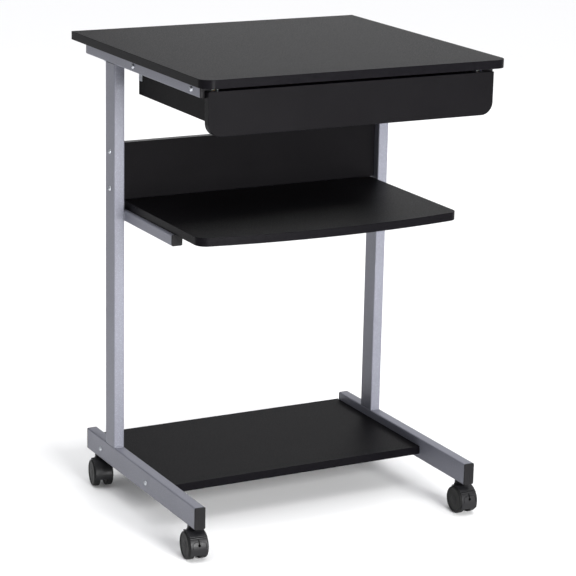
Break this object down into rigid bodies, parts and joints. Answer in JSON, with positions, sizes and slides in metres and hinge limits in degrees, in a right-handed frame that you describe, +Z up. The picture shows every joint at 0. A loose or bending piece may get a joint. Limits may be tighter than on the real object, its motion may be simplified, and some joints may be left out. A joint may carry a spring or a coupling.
{
  "type": "rolling computer desk",
  "caption": "Rolling computer desk: laminate top over a shallow sliding drawer, fixed bow-fronted shelf, modesty panel, bottom shelf, steel side frames on braked casters.",
  "frame": {"origin": "on the floor, under the middle of the desk's overall box", "axes": "+X to the right of a person sitting at the desk's front, +Y to the back, +Z up"},
  "size_m": [0.5862, 0.55, 0.84],
  "materials": {
    "top_laminate": "charcoal black melamine laminate on particle board, fine satin texture",
    "board_laminate": "black melamine laminate on particle board with black PVC edge band",
    "silver_steel": "silver grey powder coat on rectangular steel tube",
    "end_cap_plastic": "moulded black polyethylene",
    "zinc_steel": "rolled steel sheet, bright zinc plated",
    "roller_nylon": "natural white nylon",
    "plain_steel": "turned steel, plain finish",
    "caster_plastic": "moulded black nylon, satin",
    "wheel_plastic": "moulded black polyamide wheel, satin"
  },
  "bodies": {
    "frame": {"top_panel": "top_laminate", "fixed_shelf": "board_laminate", "modesty_panel": "board_laminate", "bottom_shelf": "board_laminate", "left_top_rail": "silver_steel", "left_upright": "silver_steel", "left_base_rail": "silver_steel", "left_shelf_arm": "silver_steel", "left_top_rail_front_cap": "end_cap_plastic", "left_top_rail_back_cap": "end_cap_plastic", "left_base_rail_front_cap": "end_cap_plastic", "left_base_rail_back_cap": "end_cap_plastic", "left_shelf_arm_cap": "end_cap_plastic", "left_slide_channel": "zinc_steel", "right_top_rail": "silver_steel", "right_upright": "silver_steel", "right_base_rail": "silver_steel", "right_shelf_arm": "silver_steel", "right_top_rail_front_cap": "end_cap_plastic", "right_top_rail_back_cap": "end_cap_plastic", "right_base_rail_front_cap": "end_cap_plastic", "right_base_rail_back_cap": "end_cap_plastic", "right_shelf_arm_cap": "end_cap_plastic", "right_slide_channel": "zinc_steel"},
    "drawer": {"drawer_front": "board_laminate", "drawer_left_side": "board_laminate", "drawer_right_side": "board_laminate", "drawer_back": "board_laminate", "drawer_bottom": "board_laminate", "left_slide_runner": "zinc_steel", "right_slide_runner": "zinc_steel"},
    "left_front_roller": {"left_slide_front_roller": "roller_nylon"},
    "left_back_roller": {"left_slide_back_roller": "roller_nylon"},
    "right_front_roller": {"right_slide_front_roller": "roller_nylon"},
    "right_back_roller": {"right_slide_back_roller": "roller_nylon"},
    "front_left_caster": {"front_left_caster_stem": "plain_steel", "front_left_caster_hood": "caster_plastic", "front_left_caster_axle": "plain_steel"},
    "front_left_left_wheel": {"front_left_caster_left_wheel": "wheel_plastic"},
    "front_left_right_wheel": {"front_left_caster_right_wheel": "wheel_plastic"},
    "front_left_brake": {"front_left_caster_brake_lever": "caster_plastic"},
    "front_right_caster": {"front_right_caster_stem": "plain_steel", "front_right_caster_hood": "caster_plastic", "front_right_caster_axle": "plain_steel"},
    "front_right_left_wheel": {"front_right_caster_left_wheel": "wheel_plastic"},
    "front_right_right_wheel": {"front_right_caster_right_wheel": "wheel_plastic"},
    "front_right_brake": {"front_right_caster_brake_lever": "caster_plastic"},
    "back_left_caster": {"back_left_caster_stem": "plain_steel", "back_left_caster_hood": "caster_plastic", "back_left_caster_axle": "plain_steel"},
    "back_left_left_wheel": {"back_left_caster_left_wheel": "wheel_plastic"},
    "back_left_right_wheel": {"back_left_caster_right_wheel": "wheel_plastic"},
    "back_right_caster": {"back_right_caster_stem": "plain_steel", "back_right_caster_hood": "caster_plastic", "back_right_caster_axle": "plain_steel"},
    "back_right_left_wheel": {"back_right_caster_left_wheel": "wheel_plastic"},
    "back_right_right_wheel": {"back_right_caster_right_wheel": "wheel_plastic"}
  },
  "joints": [
    {"name": "drawer_slide", "type": "slide", "parent": "frame", "child": "drawer", "axis": [0, -1, 0], "range_m": [0, 0.25]},
    {"name": "left_front_roller_spin", "type": "hinge", "parent": "frame", "child": "left_front_roller", "pos_m": [-0.253, -0.228, 0.8151], "axis": [1, 0, 0], "continuous": true},
    {"name": "left_back_roller_spin", "type": "hinge", "parent": "drawer", "child": "left_back_roller", "pos_m": [-0.253, 0.0503, 0.815], "axis": [1, 0, 0], "continuous": true},
    {"name": "right_front_roller_spin", "type": "hinge", "parent": "frame", "child": "right_front_roller", "pos_m": [0.253, -0.228, 0.8151], "axis": [1, 0, 0], "continuous": true},
    {"name": "right_back_roller_spin", "type": "hinge", "parent": "drawer", "child": "right_back_roller", "pos_m": [0.253, 0.0503, 0.815], "axis": [1, 0, 0], "continuous": true},
    {"name": "front_left_caster_swivel", "type": "hinge", "parent": "frame", "child": "front_left_caster", "pos_m": [-0.2695, -0.205, 0.058], "axis": [0, 0, 1], "continuous": true},
    {"name": "front_left_left_wheel_roll", "type": "hinge", "parent": "front_left_caster", "child": "front_left_left_wheel", "pos_m": [-0.27055, -0.21695, 0.025], "axis": [0.9962, -0.0872, 0], "continuous": true},
    {"name": "front_left_right_wheel_roll", "type": "hinge", "parent": "front_left_caster", "child": "front_left_right_wheel", "pos_m": [-0.27055, -0.21695, 0.025], "axis": [0.9962, -0.0872, 0], "continuous": true},
    {"name": "front_left_brake_press", "type": "hinge", "parent": "front_left_caster", "child": "front_left_brake", "pos_m": [-0.27232, -0.23725, 0.04271], "axis": [0.9962, -0.0872, 0], "range_deg": [-15, 0]},
    {"name": "front_right_caster_swivel", "type": "hinge", "parent": "frame", "child": "front_right_caster", "pos_m": [0.2695, -0.205, 0.058], "axis": [0, 0, 1], "continuous": true},
    {"name": "front_right_left_wheel_roll", "type": "hinge", "parent": "front_right_caster", "child": "front_right_left_wheel", "pos_m": [0.2695, -0.217, 0.025], "axis": [1, 0, 0], "continuous": true},
    {"name": "front_right_right_wheel_roll", "type": "hinge", "parent": "front_right_caster", "child": "front_right_right_wheel", "pos_m": [0.2695, -0.217, 0.025], "axis": [1, 0, 0], "continuous": true},
    {"name": "front_right_brake_press", "type": "hinge", "parent": "front_right_caster", "child": "front_right_brake", "pos_m": [0.2695, -0.23738, 0.04271], "axis": [1, 0, 0], "range_deg": [-15, 0]},
    {"name": "back_left_caster_swivel", "type": "hinge", "parent": "frame", "child": "back_left_caster", "pos_m": [-0.2695, 0.198, 0.058], "axis": [0, 0, 1], "continuous": true},
    {"name": "back_left_left_wheel_roll", "type": "hinge", "parent": "back_left_caster", "child": "back_left_left_wheel", "pos_m": [-0.27138, 0.18615, 0.025], "axis": [0.9877, -0.1564, 0], "continuous": true},
    {"name": "back_left_right_wheel_roll", "type": "hinge", "parent": "back_left_caster", "child": "back_left_right_wheel", "pos_m": [-0.27138, 0.18615, 0.025], "axis": [0.9877, -0.1564, 0], "continuous": true},
    {"name": "back_right_caster_swivel", "type": "hinge", "parent": "frame", "child": "back_right_caster", "pos_m": [0.2695, 0.198, 0.058], "axis": [0, 0, 1], "continuous": true},
    {"name": "back_right_left_wheel_roll", "type": "hinge", "parent": "back_right_caster", "child": "back_right_left_wheel", "pos_m": [0.27138, 0.18615, 0.025], "axis": [0.9877, 0.1564, 0], "continuous": true},
    {"name": "back_right_right_wheel_roll", "type": "hinge", "parent": "back_right_caster", "child": "back_right_right_wheel", "pos_m": [0.27138, 0.18615, 0.025], "axis": [0.9877, 0.1564, 0], "continuous": true}
  ],
  "couplings": [
    {"joint": "left_front_roller_spin", "follows": "drawer_slide", "rad_per_m": 166.67},
    {"joint": "left_back_roller_spin", "follows": "drawer_slide", "rad_per_m": 131.58},
    {"joint": "right_front_roller_spin", "follows": "drawer_slide", "rad_per_m": 166.67},
    {"joint": "right_back_roller_spin", "follows": "drawer_slide", "rad_per_m": 131.58}
  ]
}
